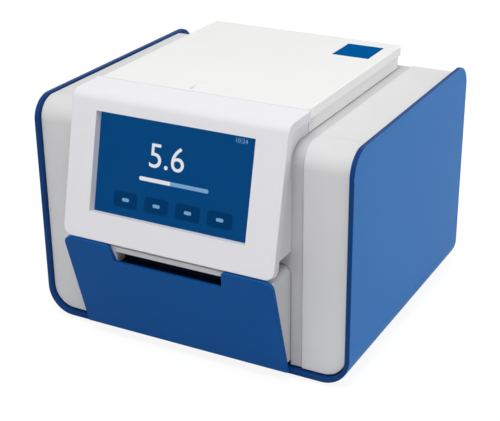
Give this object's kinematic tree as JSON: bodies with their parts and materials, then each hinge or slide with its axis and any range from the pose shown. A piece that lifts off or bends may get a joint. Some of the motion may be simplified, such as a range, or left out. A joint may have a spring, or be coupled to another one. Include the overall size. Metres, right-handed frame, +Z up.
{
  "type": "glycated hemoglobin analyzer",
  "caption": "Benchtop blood analyzer: blue wrapped case, leaning touch screen, lifting lid over a cuvette rotor and pipettor, and a front drawer",
  "frame": {"origin": "on the table, under the middle of the analyzer's length and width", "axes": "+Z up, +Y to the back, away from the screen, +X to the right as the user faces the screen"},
  "size_m": [0.312, 0.3128, 0.2372],
  "materials": {
    "case_blue": "satin powder coat",
    "drawer_blue": "satin moulded plastic",
    "fairing_grey": "fine matt texture",
    "core_grey": "fine matt texture",
    "head_white": "satin moulded plastic",
    "lid_white": "satin moulded plastic",
    "screen_glass": "polished",
    "screen_panel": "lit display",
    "zinc_steel": "zinc plated",
    "bright_steel": "ground",
    "bearing_brass": "turned",
    "gear_nylon": "moulded nylon",
    "motor_black": "satin black",
    "tray_grey": "moulded plastic",
    "rack_white": "moulded plastic",
    "deck_steel": "satin powder coat",
    "hub_grey": "moulded plastic",
    "deck_grey": "moulded plastic",
    "rotor_clear": "polished",
    "heater_aluminium": "anodised",
    "optic_black": "matt",
    "lens_glass": "polished",
    "arm_white": "satin",
    "bottle_amber": "moulded",
    "cap_blue": "moulded",
    "board_green": "solder mask",
    "panel_grey": "satin powder coat",
    "fan_black": "moulded",
    "socket_black": "moulded",
    "rocker_black": "moulded",
    "foot_rubber": "matt"
  },
  "bodies": {
    "case": {"outer_shell": "case_blue", "pillar_left": "fairing_grey", "pillar_right": "fairing_grey", "side_cover_left": "fairing_grey", "side_cover_right": "fairing_grey", "core_housing": "core_grey", "head_housing": "head_white", "head_bezel": "head_white", "touch_glass": "screen_glass", "lcd_module": "screen_panel", "display_bracket": "zinc_steel", "display_board": "board_green", "lid_hinge_leaves": "bright_steel", "lid_hinge_pins": "bright_steel", "bay_rails": "zinc_steel", "chassis_tray": "zinc_steel", "chassis_side_left": "zinc_steel", "chassis_side_right": "zinc_steel", "deck_shroud": "deck_grey", "deck_plate": "deck_steel", "rotor_bearing": "bearing_brass", "gear_plate": "zinc_steel", "plate_standoffs": "bright_steel", "rotor_motor": "motor_black", "incubator_ring": "heater_aluminium", "photometer_block": "optic_black", "photometer_lens": "lens_glass", "pipette_base": "heater_aluminium", "pipette_drive": "motor_black", "wash_well": "rack_white", "sample_cup": "rack_white", "reagent_bottles": "bottle_amber", "bottle_caps": "cap_blue", "main_board": "board_green", "board_standoffs": "bright_steel", "power_supply": "board_green", "rear_panel": "panel_grey", "rear_screws": "bright_steel", "fan_frame": "fan_black", "mains_inlet": "socket_black", "switch_frame": "socket_black", "data_ports": "socket_black", "rubber_feet": "foot_rubber"},
    "lid": {"lid_panel": "lid_white"},
    "drawer": {"drawer_front": "drawer_blue", "drawer_backing": "tray_grey", "drawer_tray": "tray_grey", "sample_rack": "rack_white", "drawer_rails": "zinc_steel"},
    "rotor": {"rotor_hub": "hub_grey", "reaction_rotor": "rotor_clear", "rotor_spindle": "bright_steel", "rotor_gear": "gear_nylon"},
    "pinion": {"motor_pinion": "bearing_brass", "motor_shaft_pin": "bright_steel"},
    "pipette_column": {"pipette_shaft": "bright_steel"},
    "pipette_head": {"pipette_arm": "arm_white", "pipette_needle": "bright_steel"},
    "fan": {"fan_rotor": "fan_black"},
    "rocker": {"power_rocker": "rocker_black"}
  },
  "joints": [
    {"name": "lid_hinge", "type": "hinge", "parent": "case", "child": "lid", "pos_m": [0, 0.1204, 0.2174], "axis": [-1, 0, 0], "range_deg": [0, 75]},
    {"name": "drawer_slide", "type": "slide", "parent": "case", "child": "drawer", "axis": [0, -1, 0], "range_m": [0, 0.13]},
    {"name": "rotor_spin", "type": "hinge", "parent": "case", "child": "rotor", "pos_m": [-0.024, 0.0179, 0.1625], "axis": [0, 0, 1], "continuous": true},
    {"name": "pinion_spin", "type": "hinge", "parent": "case", "child": "pinion", "pos_m": [-0.06, 0.0179, 0.1375], "axis": [0, 0, 1], "continuous": true},
    {"name": "pipette_lift", "type": "slide", "parent": "case", "child": "pipette_column", "axis": [0, 0, -1], "range_m": [0, 0.019]},
    {"name": "pipette_swing", "type": "hinge", "parent": "pipette_column", "child": "pipette_head", "pos_m": [0.055, -0.0181, 0.2025], "axis": [0, 0, 1], "range_deg": [-148, 17]},
    {"name": "fan_spin", "type": "hinge", "parent": "case", "child": "fan", "pos_m": [0.055, 0.1339, 0.1575], "axis": [0, 1, 0], "continuous": true},
    {"name": "power_switch", "type": "hinge", "parent": "case", "child": "rocker", "pos_m": [-0.115, 0.1419, 0.038], "axis": [1, 0, 0], "range_deg": [0, 12.5]}
  ],
  "couplings": [
    {"joint": "pinion_spin", "follows": "rotor_spin", "ratio": -3}
  ]
}
